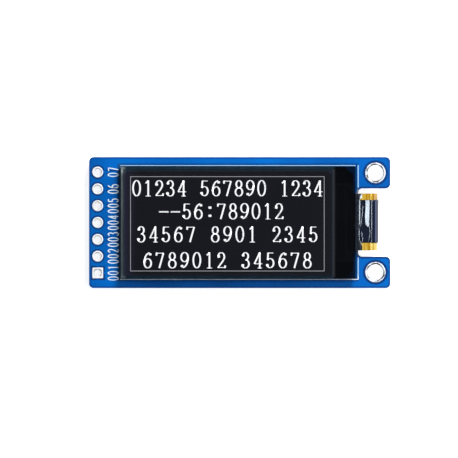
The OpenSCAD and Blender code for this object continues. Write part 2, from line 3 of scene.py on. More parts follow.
import bmesh
import bpy
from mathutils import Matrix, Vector

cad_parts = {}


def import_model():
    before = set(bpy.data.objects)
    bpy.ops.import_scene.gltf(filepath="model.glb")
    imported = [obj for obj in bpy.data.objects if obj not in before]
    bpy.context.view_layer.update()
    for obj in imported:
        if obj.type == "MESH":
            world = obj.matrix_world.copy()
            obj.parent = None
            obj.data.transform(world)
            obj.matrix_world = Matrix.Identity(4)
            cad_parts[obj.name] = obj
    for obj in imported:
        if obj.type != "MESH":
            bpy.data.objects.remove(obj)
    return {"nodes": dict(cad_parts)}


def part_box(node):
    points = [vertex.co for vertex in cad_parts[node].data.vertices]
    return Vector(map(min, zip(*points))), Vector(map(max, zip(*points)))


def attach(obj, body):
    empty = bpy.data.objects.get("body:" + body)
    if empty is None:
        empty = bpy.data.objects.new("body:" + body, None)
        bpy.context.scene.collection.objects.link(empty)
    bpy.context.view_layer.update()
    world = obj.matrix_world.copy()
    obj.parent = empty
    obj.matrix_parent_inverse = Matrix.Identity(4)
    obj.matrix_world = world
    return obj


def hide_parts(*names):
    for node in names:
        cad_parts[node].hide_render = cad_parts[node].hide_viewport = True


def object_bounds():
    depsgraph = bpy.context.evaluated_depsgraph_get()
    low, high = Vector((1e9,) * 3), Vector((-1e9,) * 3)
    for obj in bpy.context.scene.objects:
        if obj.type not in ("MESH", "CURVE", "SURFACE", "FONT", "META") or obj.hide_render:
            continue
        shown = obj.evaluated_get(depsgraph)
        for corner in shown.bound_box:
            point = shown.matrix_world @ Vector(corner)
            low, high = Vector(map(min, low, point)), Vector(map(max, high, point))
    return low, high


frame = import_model()
cad_lo, cad_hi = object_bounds()

MM = 0.001
nodes = frame["nodes"]


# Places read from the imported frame

GLASS_LO, GLASS_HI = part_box("front_glass")
FILM_LO, FILM_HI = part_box("polarizer")
IMAGE_LO, IMAGE_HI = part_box("lit_image")
BOARD_LO, BOARD_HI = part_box("circuit_board")
CHIP_LO, CHIP_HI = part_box("driver_chip")
COVER_LO, COVER_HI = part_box("flex_cover")
REAR_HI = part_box("rear_glass")[1]
FLEX_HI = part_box("flex_circuit")[1]
SKIN_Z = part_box("front_copper")[1].z
INK_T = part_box("front_ink")[1].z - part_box("front_ink")[0].z
MOUNT_MID = sum(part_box("mounting_pad_upper"), Vector()) / 2
IMAGE_MID = (IMAGE_LO + IMAGE_HI) / 2
PIXELS_ACROSS, PIXELS_UP = 128, 64
PIXEL_X = (IMAGE_HI.x - IMAGE_LO.x) / PIXELS_ACROSS
PIXEL_Y = (IMAGE_HI.y - IMAGE_LO.y) / PIXELS_UP

# Sizes that the frame doesn't give, the same as in the part's source
NOTCH_X, NOTCH_HALF = 17.91 * MM, 5.15 * MM
HEADER_HOLE_R, MOUNT_HOLE_R = 0.5 * MM, 1.2 * MM
PLATING_T = 0.05 * MM
COVER_T = 0.05 * MM
COVER_TOP_X = GLASS_HI.x + 0.06 * MM

# A step too small to see
TINY = 0.002 * MM

# Strengths of what glows: digits, the line round them, the floor as seen, the studio's side
LIT_STRENGTH = 6.2
BORDER_STRENGTH = 1.95
FLOOR_GLOW = 0.79
SIDE_GLOW = 5.5


# Node helpers

def material(name):
    """A new material, its node tree and its shader."""
    mat = bpy.data.materials.new(name)
    mat.use_nodes = True
    tree = mat.node_tree
    return mat, tree, tree.nodes["Principled BSDF"]


def node(tree, kind, **values):
    """A node with its properties and its inputs set by name."""
    made = tree.nodes.new(kind)
    for key, value in values.items():
        if hasattr(made, key):
            setattr(made, key, value)
        else:
            made.inputs[key.replace("_", " ")].default_value = value
    return made


def finish(tree, shader, **values):
    """Sets a shader's inputs, each from a number, a colour or another node's socket."""
    for key, value in values.items():
        socket = shader.inputs[key.replace("_", " ")]
        if isinstance(value, bpy.types.NodeSocket):
            tree.links.new(value, socket)
        elif isinstance(value, tuple):
            socket.default_value = (*value, 1.0)
        else:
            socket.default_value = value


def place(tree):
    """The point's place in the row frame, in metres."""
    return node(tree, "ShaderNodeTexCoord").outputs["Object"]


def axis(tree, letter):
    """One coordinate of the point's place."""
    split = node(tree, "ShaderNodeSeparateXYZ")
    tree.links.new(place(tree), split.inputs["Vector"])
    return split.outputs[letter]


def noise(tree, size, detail=3.0, stretch=(1, 1, 1)):
    """Noise from 0 to 1 whose lumps are about size across."""
    mapping = node(tree, "ShaderNodeMapping")
    mapping.inputs["Scale"].default_value = [s / size for s in stretch]
    tree.links.new(place(tree), mapping.inputs["Vector"])
    made = node(tree, "ShaderNodeTexNoise", Scale=1.0, Detail=detail)
    tree.links.new(mapping.outputs["Vector"], made.inputs["Vector"])
    return made.outputs["Fac"]


def ramp(tree, source, stops):
    """Colour along stops of (value, colour)."""
    made = node(tree, "ShaderNodeValToRGB")
    points = made.color_ramp.elements
    while len(points) < len(stops):
        points.new(0.5)
    for point, (at, colour) in zip(points, stops):
        point.position = at
        point.color = (*colour, 1.0)
    tree.links.new(source, made.inputs["Fac"])
    return made.outputs["Color"]


def remap(tree, source, a, b, lo=0.0, hi=1.0, smooth=False):
    """A value that goes from lo to hi as the source goes from a to b, and no further."""
    made = node(tree, "ShaderNodeMapRange")
    if smooth:
        made.interpolation_type = "SMOOTHSTEP"
    for key, value in zip(("From Min", "From Max", "To Min", "To Max"), (a, b, lo, hi)):
        made.inputs[key].default_value = value
    tree.links.new(source, made.inputs["Value"])
    return made.outputs["Result"]


# Noise seldom leaves this range, so finishes spread over it
NOISE_LO, NOISE_HI = 0.3, 0.7


def tones(tree, source, dark, light):
    """Colour from dark to light over the usual range of noise."""
    return ramp(tree, source, [(NOISE_LO, dark), (NOISE_HI, light)])


def vary(tree, source, lo, hi):
    """A value from lo to hi over the usual range of noise."""
    return remap(tree, source, NOISE_LO, NOISE_HI, lo, hi)


def blend(tree, amount, first, second):
    """Colour first, turning to second as amount goes to 1. Either may be a colour or a socket."""
    made = node(tree, "ShaderNodeMix", data_type="RGBA")
    tree.links.new(amount, made.inputs["Factor"])
    colours = [socket for socket in made.inputs if socket.type == "RGBA"]
    for socket, value in zip(colours, (first, second)):
        if isinstance(value, tuple):
            socket.default_value = (*value, 1.0)
        else:
            tree.links.new(value, socket)
    return [socket for socket in made.outputs if socket.type == "RGBA"][0]


def maths(tree, how, a, b=None):
    """One step of arithmetic, where a and b are sockets or numbers."""
    made = node(tree, "ShaderNodeMath", operation=how)
    for socket, value in zip(made.inputs, (a, b)):
        if isinstance(value, (int, float)):
            socket.default_value = value
        elif value is not None:
            tree.links.new(value, socket)
    return made.outputs["Value"]


def product(tree, first, *others):
    """All values multiplied together. The first is a socket, the others may be numbers."""
    for other in others:
        first = maths(tree, "MULTIPLY", first, other)
    return first


def cut_edge(tree, flat=0.75, steep=0.5):
    """1 on faces that stand upright, 0 on faces that lie flat."""
    split = node(tree, "ShaderNodeSeparateXYZ")
    normal = node(tree, "ShaderNodeTexCoord").outputs["Normal"]
    tree.links.new(normal, split.inputs["Vector"])
    return remap(tree, maths(tree, "ABSOLUTE", split.outputs["Z"]), flat, steep)


def bump(tree, shader, source, height):
    made = node(tree, "ShaderNodeBump", Strength=1.0, Distance=height)
    tree.links.new(source, made.inputs["Height"])
    tree.links.new(made.outputs["Normal"], shader.inputs["Normal"])


def inside(tree, lo, hi, soft):
    """1 within a box in X and Y, fading to 0 over soft outside it."""
    sides = []
    for letter, a, b in (("X", lo[0], hi[0]), ("Y", lo[1], hi[1])):
        along = axis(tree, letter)
        sides.append(remap(tree, along, a - soft, a, smooth=True))
        sides.append(remap(tree, along, b + soft, b, smooth=True))
    return product(tree, *sides)


# Finishes

def mottled(name, dark, light, size, rough, height=0.0, stretch=(1, 1, 1), **fixed):
    """A finish whose colour and roughness vary over lumps of one size, and whose relief is finer."""
    mat, tree, shader = material(name)
    lumps = noise(tree, size, stretch=stretch)
    finish(tree, shader, Base_Color=tones(tree, lumps, dark, light), Roughness=vary(tree, lumps, *rough))
    if height:
        bump(tree, shader, noise(tree, size / 3), height)
    finish(tree, shader, **fixed)
    return mat


def lacquered_copper():
    """Glossy blue lacquer over copper: uneven in thickness, with painted shade round the middle of the
    header and beside the glass."""
    mat, tree, shader = material("lacquered_copper")
    broad = noise(tree, 9 * MM, detail=1.5)
    fine = noise(tree, 0.35 * MM)
    deep, mid, bright = (0.0, 0.105, 0.42), (0.0, 0.135, 0.53), (0.0, 0.165, 0.61)
    colour = ramp(tree, broad, [(NOISE_LO, deep), (0.5, mid), (NOISE_HI, bright)])
    colour = blend(tree, remap(tree, fine, 0.2, 0.8, 0.0, 0.16), colour, (0.0, 0.05, 0.25))
    # Painted shade: darker round the middle of the header.
    mid_header_shade = inside(tree, (BOARD_LO.x + 1 * MM, -4.5 * MM), (GLASS_LO.x, 4.0 * MM), 4 * MM)
    colour = blend(tree, product(tree, mid_header_shade, 0.35), colour, (0.0, 0.05, 0.24))
    # Painted shade beside the glass, greyer at the header end.
    reach = 0.12 * MM
    beside = inside(tree, (GLASS_LO.x - reach, GLASS_LO.y - reach),
                    (GLASS_HI.x + reach, GLASS_HI.y + reach), 0.55 * MM)
    header_side = remap(tree, axis(tree, "X"), GLASS_LO.x + 1 * MM, GLASS_LO.x)
    shade = blend(tree, header_side, (0.0, 0.022, 0.085), (0.018, 0.044, 0.076))
    colour = blend(tree, product(tree, beside, 0.76), colour, shade)
    bump(tree, shader, fine, 0.004 * MM)
    finish(tree, shader, Base_Color=colour, Roughness=vary(tree, fine, 0.2, 0.3), Specular_IOR_Level=0.1)
    return mat


def bare_board():
    """Dark blue lacquer on the faces, with painted light: paler near the rim, as light coming in through
    it, and paler between the glass's end and the notch, as a glint. Layers of glass cloth on the sawn
    sides."""
    mat, tree, shader = material("bare_board")
    face = tones(tree, noise(tree, 0.3 * MM), (0.001, 0.036, 0.17), (0.002, 0.060, 0.25))
    # Painted light: paler near the rim.
    rim, soft = 0.3 * MM, 0.1 * MM
    within = inside(tree, (BOARD_LO.x + rim, BOARD_LO.y + rim), (BOARD_HI.x - rim, BOARD_HI.y - rim),
                    soft)
    face = blend(tree, within, (0.002, 0.095, 0.36), face)
    # Painted glint: paler between the glass's end and the notch.
    notch = inside(tree, (GLASS_HI.x, -NOTCH_HALF), (NOTCH_X, NOTCH_HALF), soft)
    face = blend(tree, notch, face, (0.10, 0.15, 0.21))
    cloth = noise(tree, 0.12 * MM, detail=4, stretch=(0.08, 0.08, 1))
    side = ramp(tree, cloth, [(0.35, (0.05, 0.10, 0.16)), (0.65, (0.20, 0.27, 0.26))])
    upright = cut_edge(tree)
    bump(tree, shader, cloth, 0.006 * MM)
    finish(tree, shader, Base_Color=blend(tree, upright, face, side),
           Roughness=remap(tree, upright, 0, 1, 0.25, 0.7), Specular_IOR_Level=0.15)
    return mat


def tin(name, level=0.9, rough=(0.28, 0.42)):
    """Bright tin, cool and slightly grainy."""
    dark = (0.80 * level, 0.82 * level, 0.84 * level)
    light = (level, level, 0.99 * level)
    return mottled(name, dark, light, 0.25 * MM, rough, height=0.012 * MM, Metallic=0.55)


def out_from_mount(tree):
    """Distance from the middle of the nearer mounting hole."""
    across = maths(tree, "SUBTRACT", axis(tree, "X"), MOUNT_MID.x)
    up = maths(tree, "SUBTRACT", maths(tree, "ABSOLUTE", axis(tree, "Y")), MOUNT_MID.y)
    return maths(tree, "SQRT", maths(tree, "ADD", product(tree, across, across), product(tree, up, up)))


# The darkening on a tinned ring grows from none to full between these heights over the lacquer, and
# between these distances from the middle of a mounting hole
LOW_DARKENING_Z = (0.028 * MM, 0.004 * MM)
BORE_DARKENING_R = (1.48 * MM, 1.38 * MM)


def tinned_rim():
    """Tinned ring, darker brown in patches where it lies low and towards the hole, most of all at the
    mounting holes.
    """
    mat, tree, shader = material("tinned_rim")
    grain = noise(tree, 0.25 * MM)
    face = tones(tree, grain, (0.95, 0.96, 0.97), (1.0, 1.0, 1.0))
    patches = remap(tree, noise(tree, 1.1 * MM, detail=2), 0.44, 0.54, 0.05, 1.0)
    speckle = product(tree, maths(tree, "SUBTRACT", noise(tree, 0.30 * MM), 0.5), 0.14 * MM)
    low = maths(tree, "ADD", axis(tree, "Z"), speckle)
    down = remap(tree, low, SKIN_Z + LOW_DARKENING_Z[0], SKIN_Z + LOW_DARKENING_Z[1])
    mounting = remap(tree, axis(tree, "X"), 0.0, BOARD_HI.x / 2, 0.10, 0.80)
    face = blend(tree, product(tree, down, patches, mounting), face, (0.030, 0.024, 0.022))
    # Darker in patches towards a mounting hole's bore.
    ragged = maths(tree, "ADD", out_from_mount(tree), product(tree, speckle, 2.2))
    bore_darkening = product(tree, remap(tree, ragged, *BORE_DARKENING_R), patches)
    tone = ramp(tree, noise(tree, 0.2 * MM), [(0.35, (0.02, 0.016, 0.014)), (0.65, (0.20, 0.20, 0.20))])
    bump(tree, shader, noise(tree, 0.3 * MM), 0.02 * MM)
    finish(tree, shader, Base_Color=blend(tree, bore_darkening, face, tone), Metallic=0.1,
           Roughness=vary(tree, grain, 0.25, 0.4))
    return mat


GLASS_IOR = 1.52


def clear_glass():
    """Clear pane: see-through on its faces, with painted shade making it more opaque over the ledge, and
    frosted on its ground edges, which carry painted light near white at the header end."""
    mat, tree, shader = material("clear_glass")
    edge = cut_edge(tree)
    smear = noise(tree, 6 * MM, detail=2)
    face = tones(tree, smear, (0.0012, 0.0018, 0.0028), (0.0026, 0.0036, 0.0052))
    # Painted highlight: the ground edges turn near white at the header end.
    header_end = remap(tree, axis(tree, "X"), GLASS_LO.x + 0.3 * MM, GLASS_LO.x + 0.1 * MM)
    ground = blend(tree, header_end, (0.08, 0.15, 0.18), (0.90, 1.0, 1.0))
    # Painted shade: more opaque over the ledge, darkening what lies beneath.
    depth = remap(tree, axis(tree, "X"), REAR_HI.x, REAR_HI.x + 0.3 * MM, 0.30, 0.60)
    finish(tree, shader, Base_Color=blend(tree, edge, face, ground),
           Alpha=maths(tree, "MAXIMUM", depth, remap(tree, edge, 0, 1, 0.0, 0.8)),
           Roughness=remap(tree, edge, 0, 1, 0.04, 0.5), Specular_IOR_Level=0.09, IOR=GLASS_IOR)
    return mat


def seal_glue():
    """Cured glue between the panes, with painted light at the header end, brightest towards +Y."""
    mat, tree, shader = material("seal_glue")
    face = tones(tree, noise(tree, 1.5 * MM), (0.030, 0.115, 0.19), (0.060, 0.160, 0.25))
    # Painted light: near white at the header end, brightest towards +Y.
    header_end = remap(tree, axis(tree, "X"), GLASS_LO.x + 0.9 * MM, GLASS_LO.x + 0.4 * MM)
    paler = remap(tree, axis(tree, "Y"), GLASS_LO.y, GLASS_HI.y, 0.55, 1.0)
    face = blend(tree, product(tree, header_end, paler), face, (0.86, 1.0, 1.0))
    finish(tree, shader, Base_Color=face, Roughness=0.5, Specular_IOR_Level=0.2)
    return mat


def frame_ink():
    """Printed white ink round the glass, with painted light making the bottom line near white. It thins
    out to lacquer towards the lines' outer edges and close to the glass."""
    mat, tree, shader = material("frame_ink")
    white = tones(tree, noise(tree, 0.3 * MM), (0.34, 0.64, 0.96), (0.46, 0.74, 1.0))
    # Painted light: the bottom line is near white.
    lower = remap(tree, axis(tree, "Y"), GLASS_LO.y + 1 * MM, GLASS_LO.y)
    white = blend(tree, lower, white, (0.86, 0.95, 1.0))
    soft = 0.03 * MM
    solid = inside(tree, (GLASS_LO.x - 2 * MM, GLASS_LO.y - 0.115 * MM),
                   (GLASS_HI.x + 0.46 * MM, GLASS_HI.y + 0.15 * MM), soft)
    bare = inside(tree, (GLASS_LO.x, GLASS_LO.y), (GLASS_HI.x + 0.3 * MM, GLASS_HI.y + 0.04 * MM), soft)
    printed = maths(tree, "SUBTRACT", solid, bare)
    finish(tree, shader, Base_Color=blend(tree, printed, (0.0, 0.06, 0.25), white), Roughness=0.55,
           Specular_IOR_Level=0.2)
    return mat


def rear_pane():
    """Etched pane, nearly opaque, greenish at its edges."""
    mat, tree, shader = material("rear_pane")
    edge = cut_edge(tree)
    etched = noise(tree, 0.8 * MM)
    face = tones(tree, etched, (0.02, 0.032, 0.045), (0.03, 0.046, 0.062))
    finish(tree, shader, Base_Color=blend(tree, edge, face, (0.10, 0.15, 0.15)),
           Roughness=vary(tree, etched, 0.15, 0.3), Alpha=remap(tree, edge, 0, 1, 0.8, 0.9),
           Specular_IOR_Level=0.3, IOR=GLASS_IOR)
    return mat


def polarizer_film():
    """Near-black film that lets the lit digits through, paler on its edges and at both its ends."""
    mat, tree, shader = material("polarizer_film")
    edge = cut_edge(tree, 0.97, 0.8)
    veil = noise(tree, 14 * MM, detail=1)
    face = tones(tree, veil, (0.0108, 0.0110, 0.0145), (0.0122, 0.0124, 0.0168))
    header_end = remap(tree, axis(tree, "X"), FILM_LO.x + 2.5 * MM, FILM_LO.x, smooth=True)
    face = blend(tree, header_end, face, (0.019, 0.0195, 0.036))
    flex_end = remap(tree, axis(tree, "X"), FILM_HI.x - 0.36 * MM, FILM_HI.x - 0.22 * MM)
    face = blend(tree, flex_end, face, (0.032, 0.033, 0.038))
    finish(tree, shader, Base_Color=blend(tree, edge, face, (0.13, 0.135, 0.15)),
           Alpha=remap(tree, edge, 0, 1, 0.75, 0.95), Specular_IOR_Level=0.1,
           Roughness=vary(tree, noise(tree, 0.2 * MM), 0.12, 0.17))
    return mat


def lit_pixels():
    """White light from a grid of pixels, with thin dim lines between them."""
    mat, tree, shader = material("lit_pixels")
    lines = []
    for letter, pitch in (("X", PIXEL_X), ("Y", PIXEL_Y)):
        step = maths(tree, "FRACT", maths(tree, "DIVIDE", axis(tree, letter), pitch))
        middle = maths(tree, "ABSOLUTE", maths(tree, "SUBTRACT", step, 0.5))
        lines.append(remap(tree, middle, 0.42, 0.48, 1.0, 0.75))
    colour = blend(tree, product(tree, *lines), (0.0, 0.0, 0.0), (0.96, 0.98, 1.0))
    finish(tree, shader, Emission_Color=colour, Emission_Strength=LIT_STRENGTH,
           Base_Color=(0.6, 0.62, 0.64), Roughness=0.5)
    return mat


def lit_line():
    """The lit line round the image: the same white as the digits, much dimmer."""
    mat, tree, shader = material("lit_line")
    shade = tones(tree, noise(tree, 3 * MM), (0.80, 0.80, 0.86), (0.96, 0.96, 1.0))
    finish(tree, shader, Emission_Color=shade, Emission_Strength=BORDER_STRENGTH,
           Base_Color=(0.3, 0.3, 0.32), Roughness=0.5)
    return mat


def amber_flex():
    """Polyimide over copper: glossy, with painted reflections in streaks that run across the strip."""
    mat, tree, shader = material("amber_flex")
    streaks = noise(tree, 0.34 * MM, detail=3, stretch=(1, 0.06, 0.3))
    # Painted reflections: deep, gold and pale streaks stand in for light mirrored by the film's curves.
    gold, deep, pale = (0.60, 0.33, 0.003), (0.42, 0.20, 0.002), (0.80, 0.58, 0.12)
    colour = ramp(tree, streaks, [(0.32, deep), (0.48, gold), (0.68, pale)])
    bump(tree, shader, streaks, 0.02 * MM)
    finish(tree, shader, Base_Color=colour, Roughness=vary(tree, streaks, 0.18, 0.3), Metallic=0.15,
           Specular_IOR_Level=0.4, Coat_Weight=0.25, Coat_Roughness=0.1)
    return mat


def dark_glue():
    """Dark glue, wet and shiny where it lies flat and dull where it climbs the glass."""
    mat, tree, shader = material("dark_glue")
    lumps = noise(tree, 0.4 * MM)
    climbing = cut_edge(tree, 0.97, 0.85)
    finish(tree, shader, Base_Color=tones(tree, lumps, (0.004, 0.006, 0.010), (0.010, 0.013, 0.019)),
           Roughness=vary(tree, lumps, 0.09, 0.14),
           Specular_IOR_Level=remap(tree, climbing, 0, 1, 0.6, 0.06))
    return mat


def resin_black():
    """Black resin: a shade paler over the chip, paler still along the rear pane, and ribbed where
    the flex is bonded."""
    mat, tree, shader = material("resin_black")
    colour = tones(tree, noise(tree, 0.5 * MM), (0.0006, 0.0008, 0.0014), (0.0012, 0.0015, 0.0022))
    reach = 0.4 * MM
    over_chip = inside(tree, (CHIP_LO.x - reach, CHIP_LO.y - reach),
                       (FLEX_HI.x, CHIP_HI.y + reach), 0.15 * MM)
    colour = blend(tree, over_chip, colour, (0.0180, 0.0190, 0.0225))
    at_pane = remap(tree, axis(tree, "X"), REAR_HI.x + 0.28 * MM, REAR_HI.x + 0.08 * MM)
    colour = blend(tree, at_pane, colour, (0.055, 0.057, 0.064))
    ribs = noise(tree, 0.3 * MM, detail=2, stretch=(0.15, 1, 1))
    bonded = inside(tree, (CHIP_HI.x + reach, -2.0 * MM), (FLEX_HI.x, 2.2 * MM), 0.3 * MM)
    ribbed = product(tree, bonded, remap(tree, ribs, 0.45, 0.6))
    finish(tree, shader, Base_Color=blend(tree, ribbed, colour, (0.022, 0.022, 0.023)),
           Roughness=0.45, Specular_IOR_Level=0.15)
    return mat


FINISHES = {
    "lacquered_copper": lacquered_copper(),
    "bare_board": bare_board(),
    "tin": tin("tin"),
    "tinned_rim": tinned_rim(),
    "solder": tin("solder", 0.78, (0.3, 0.5)),
    "clear_glass": clear_glass(),
    "rear_pane": rear_pane(),
    "polarizer_film": polarizer_film(),
    "lit_pixels": lit_pixels(),
    "lit_line": lit_line(),
    "amber_flex": amber_flex(),
    "resin_black": resin_black(),
    "seal_glue": seal_glue(),
    "frame_ink": frame_ink(),
    "dark_glue": dark_glue(),
    "white_ink": mottled("white_ink", (0.76, 0.90, 0.98), (0.90, 0.98, 1.0), 0.3 * MM,
                         (0.5, 0.6), height=0.004 * MM, Specular_IOR_Level=0.3),
    "dark_pixels": mottled("dark_pixels", (0.007, 0.007, 0.010), (0.008, 0.008, 0.011),
                           5 * MM, (0.2, 0.3), Specular_IOR_Level=0.05),
    "drying_sheet": mottled("drying_sheet", (0.72, 0.71, 0.67), (0.82, 0.81, 0.77),
                            0.2 * MM, (0.7, 0.8), height=0.01 * MM),
    "silicon": mottled("silicon", (0.006, 0.0066, 0.0085), (0.008, 0.0088, 0.011), 1 * MM,
                       (0.3, 0.4), Specular_IOR_Level=0.2),
    "foam_tape": mottled("foam_tape", (0.66, 0.66, 0.63), (0.80, 0.80, 0.77), 0.15 * MM,
                         (0.75, 0.9), height=0.03 * MM),
    "cover_film": mottled("cover_film", (0.001, 0.004, 0.014), (0.003, 0.008, 0.024),
                          1.2 * MM, (0.10, 0.13), height=0.0008 * MM, stretch=(1, 0.3, 1),
                          Specular_IOR_Level=0.37, IOR=1.6),
    "bond_film": mottled("bond_film", (0.004, 0.0042, 0.005), (0.009, 0.0092, 0.010), 0.2 * MM,
                         (0.5, 0.7), stretch=(0.15, 1, 1), Specular_IOR_Level=0.2),
    "black_epoxy": mottled("black_epoxy", (0.012, 0.012, 0.013), (0.028, 0.028, 0.03),
                           0.1 * MM, (0.55, 0.7), height=0.008 * MM),
    "ceramic": mottled("ceramic", (0.30, 0.19, 0.10), (0.42, 0.28, 0.16), 0.25 * MM,
                       (0.45, 0.6), height=0.005 * MM),
    "resistor_glaze": mottled("resistor_glaze", (0.010, 0.010, 0.011), (0.02, 0.02, 0.022),
                              0.3 * MM, (0.2, 0.3), height=0.004 * MM),
}

CAPACITORS = [f"capacitor_{n}" for n in range(1, 9)]
RESISTORS = [f"resistor_{n}" for n in range(1, 7)]

DRESS = {
    "circuit_board": "bare_board",
    "front_copper": "lacquered_copper",
    "back_copper": "lacquered_copper",
    "front_ink": "frame_ink",
    "back_ink": "white_ink",
    "component_lands": "tin",
    "flex_lands": "tin",
    "front_glass": "clear_glass",
    "polarizer": "polarizer_film",
    "pixel_matrix": "dark_pixels",
    "edge_seal": "seal_glue",
    "drying_sheet": "drying_sheet",
    "rear_glass": "rear_pane",
    "driver_chip": "silicon",
    "ledge_resin": "resin_black",
    "mounting_tape": "foam_tape",
    "flex_circuit": "amber_flex",
    "flex_bond": "bond_film",
    "flex_fingers": "tin",
    "flex_solder": "solder",
    "regulator_body": "black_epoxy",
    "regulator_leads": "tin",
    "capacitor_ends": "tin",
    "resistor_ends": "tin",
    "component_solder": "solder",
    **{name: "ceramic" for name in CAPACITORS},
    **{name: "resistor_glaze" for name in RESISTORS},
}

# Widths of the small roundings on the CAD pieces' edges, in millimetres
ROUNDED = {
    "circuit_board": 0.03,
    "front_glass": 0.05,
    "rear_glass": 0.04,
    "polarizer": 0.10,
    "regulator_body": 0.06,
    "regulator_leads": 0.03,
    "capacitor_ends": 0.06,
    "resistor_ends": 0.04,
    "component_solder": 0.06,
    "flex_solder": 0.05,
    "mounting_tape": 0.05,
    **{name: 0.05 for name in CAPACITORS + RESISTORS},
}
ROUNDED_ANGLE = math.radians(40)


def dress_cad():
    """Materials and small roundings for the CAD's own pieces."""
    for name, finish_name in DRESS.items():
        slots = nodes[name].data.materials
        slots.clear()
        slots.append(FINISHES[finish_name])
    for name, width in ROUNDED.items():
        rounding = nodes[name].modifiers.new("rounding", "BEVEL")
        rounding.width = width * MM
        rounding.segments = 3
        rounding.limit_method = "ANGLE"
        rounding.angle_limit = ROUNDED_ANGLE


# Mesh pieces

def piece(name, bm, finish_name, smooth=False):
    """A new object from a bmesh, riding on the part."""
    bmesh.ops.recalc_face_normals(bm, faces=bm.faces)
    mesh = bpy.data.meshes.new(name)
    bm.to_mesh(mesh)
    bm.free()
    mesh.materials.append(FINISHES[finish_name])
    if smooth:
        mesh.shade_smooth()
    else:
        mesh.shade_flat()
    made = bpy.data.objects.new(name, mesh)
    bpy.context.collection.objects.link(made)
    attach(made, "root")
    return made


def sweep(bm, rings, closed=False):
    """A solid through rings of equally many points. It is capped at both ends, or goes round when
    closed."""
    loops = [[bm.verts.new(p) for p in ring] for ring in rings]
    count = len(loops[0])
    following = loops[1:] + loops[:1] if closed else loops[1:]
    for a, b in zip(loops, following):
        for i in range(count):
            j = (i + 1) % count
            bm.faces.new((a[i], a[j], b[j], b[i]))
    if not closed:
        bm.faces.new(loops[0])
        bm.faces.new(reversed(loops[-1]))


# Digits, each as strokes on a cell 1 wide and 1 high

def line(*points):
    """A stroke through points."""
    return [Vector(p) for p in points]


def arc(middle, radii, start, end, steps=20):
    """An arc of an ellipse from one angle to another, in degrees."""
    turn = [math.radians(start + (end - start) * i / steps) for i in range(steps + 1)]
    return [Vector((middle[0] + radii[0] * math.cos(a), middle[1] + radii[1] * math.sin(a)))
            for a in turn]


def dot(middle, radii=(0.07, 0.045)):
    """A small ball at a stroke's end, or a dot of a colon."""
    return arc(middle, radii, 0, 360, 12)


STROKES = {
    "0": [arc((0.5, 0.5), (0.37, 0.47), 0, 360, 32)],
    "1": [line((0.26, 0.80), (0.53, 0.96)), line((0.53, 0.97), (0.53, 0.02))],
    "2": [arc((0.48, 0.70), (0.33, 0.26), 165, -25) + line((0.62, 0.42), (0.15, 0.05)),
          line((0.13, 0.05), (0.87, 0.05))],
    "3": [arc((0.45, 0.74), (0.29, 0.22), 155, -90), arc((0.45, 0.27), (0.36, 0.25), 90, -155)],
    "4": [line((0.66, 0.96), (0.10, 0.28)), line((0.08, 0.28), (0.92, 0.28)),
          line((0.66, 0.97), (0.66, 0.02))],
    "5": [line((0.80, 0.94), (0.25, 0.94)), line((0.25, 0.95), (0.21, 0.53)),
          arc((0.46, 0.32), (0.36, 0.28), 135, -155)],
    "6": [arc((0.5, 0.31), (0.36, 0.28), 0, 360, 28), arc((0.76, 0.36), (0.62, 0.60), 96, 182)],
    "7": [line((0.13, 0.93), (0.88, 0.93)), line((0.86, 0.93), (0.42, 0.02))],
    "8": [arc((0.5, 0.74), (0.28, 0.22), 0, 360, 28), arc((0.5, 0.27), (0.36, 0.25), 0, 360, 28)],
    "-": [line((0.0, y), (1.0, y)) for y in (0.438, 0.482)],
    ":": [dot((0.5, y), (0.09, 0.05)) for y in (0.22, 0.72)],
    " ": [],
}
STROKES["9"] = [[Vector((1, 1)) - p for p in stroke] for stroke in STROKES["6"]]

SERIFS = {
    "1": [line((0.26, 0.02), (0.80, 0.02))],
    "2": [line((0.87, 0.03), (0.90, 0.18)), dot((0.22, 0.72))],
    "3": [dot((0.22, 0.79), (0.07, 0.04)), dot((0.17, 0.19))],
    "4": [line((0.44, 0.02), (0.88, 0.02))],
    "5": [dot((0.17, 0.20))],
    "6": [dot((0.76, 0.86))],
    "7": [line((0.14, 0.95), (0.12, 0.78))],
    "9": [dot((0.24, 0.14))],
}


def pen_stroke(bm, points, thin, thick, place_at, z0, z1):
    """One stroke of a broad pen: thin where it runs across the cell, thick where it runs up."""
    rings = []
    for i, p in enumerate(points):
        ahead, behind = points[min(i + 1, len(points) - 1)], points[max(i - 1, 0)]
        way = (ahead - behind).normalized()
        half = (thin + (thick - thin) * abs(way.y)) / 2
        side = Vector((-way.y, way.x)) * half
        a, b = place_at(p + side), place_at(p - side)
        rings.append([(*a, z0), (*b, z0), (*b, z1), (*a, z1)])
    sweep(bm, rings)


def write(bm, text, middle, cell, step, pen, z0, z1, quarter_turn=False, serifs=False):
    """A row of digits, its middle at middle. With quarter_turn it reads towards +Y."""
    for i, glyph in enumerate(text):
        along = (i - (len(text) - 1) / 2) * step

        def place_at(p, along=along):
            x, y = along + p.x, p.y
            turned = (-y, x) if quarter_turn else (x, y)
            return (middle[0] + turned[0], middle[1] + turned[1])

        strokes = STROKES[glyph]
        if serifs:
            strokes = strokes + SERIFS.get(glyph, [])
        for stroke in strokes:
            sized = [Vector(((p.x - 0.5) * cell[0], (p.y - 0.5) * cell[1])) for p in stroke]
            pen_stroke(bm, sized, *pen, place_at, z0, z1)


# Rows of lit digits: text, then middle and spacing in pixels, in the rows of the CAD's own
LIT_ROWS = [
    ("01234 567890 1234", (0, 24), 7.5),
    ("--56:789012", (-4, 8.5), 7.6),
    ("34567 8901 2345", (0, -7), 8.1),
    ("6789012 345678", (0, -24.5), 8.1),
]
LIT_CELL = (6.3 * PIXEL_X, 11 * PIXEL_Y)
LIT_PEN = (0.10 * MM, 0.25 * MM)
LIT_FRAME = 0.10 * MM


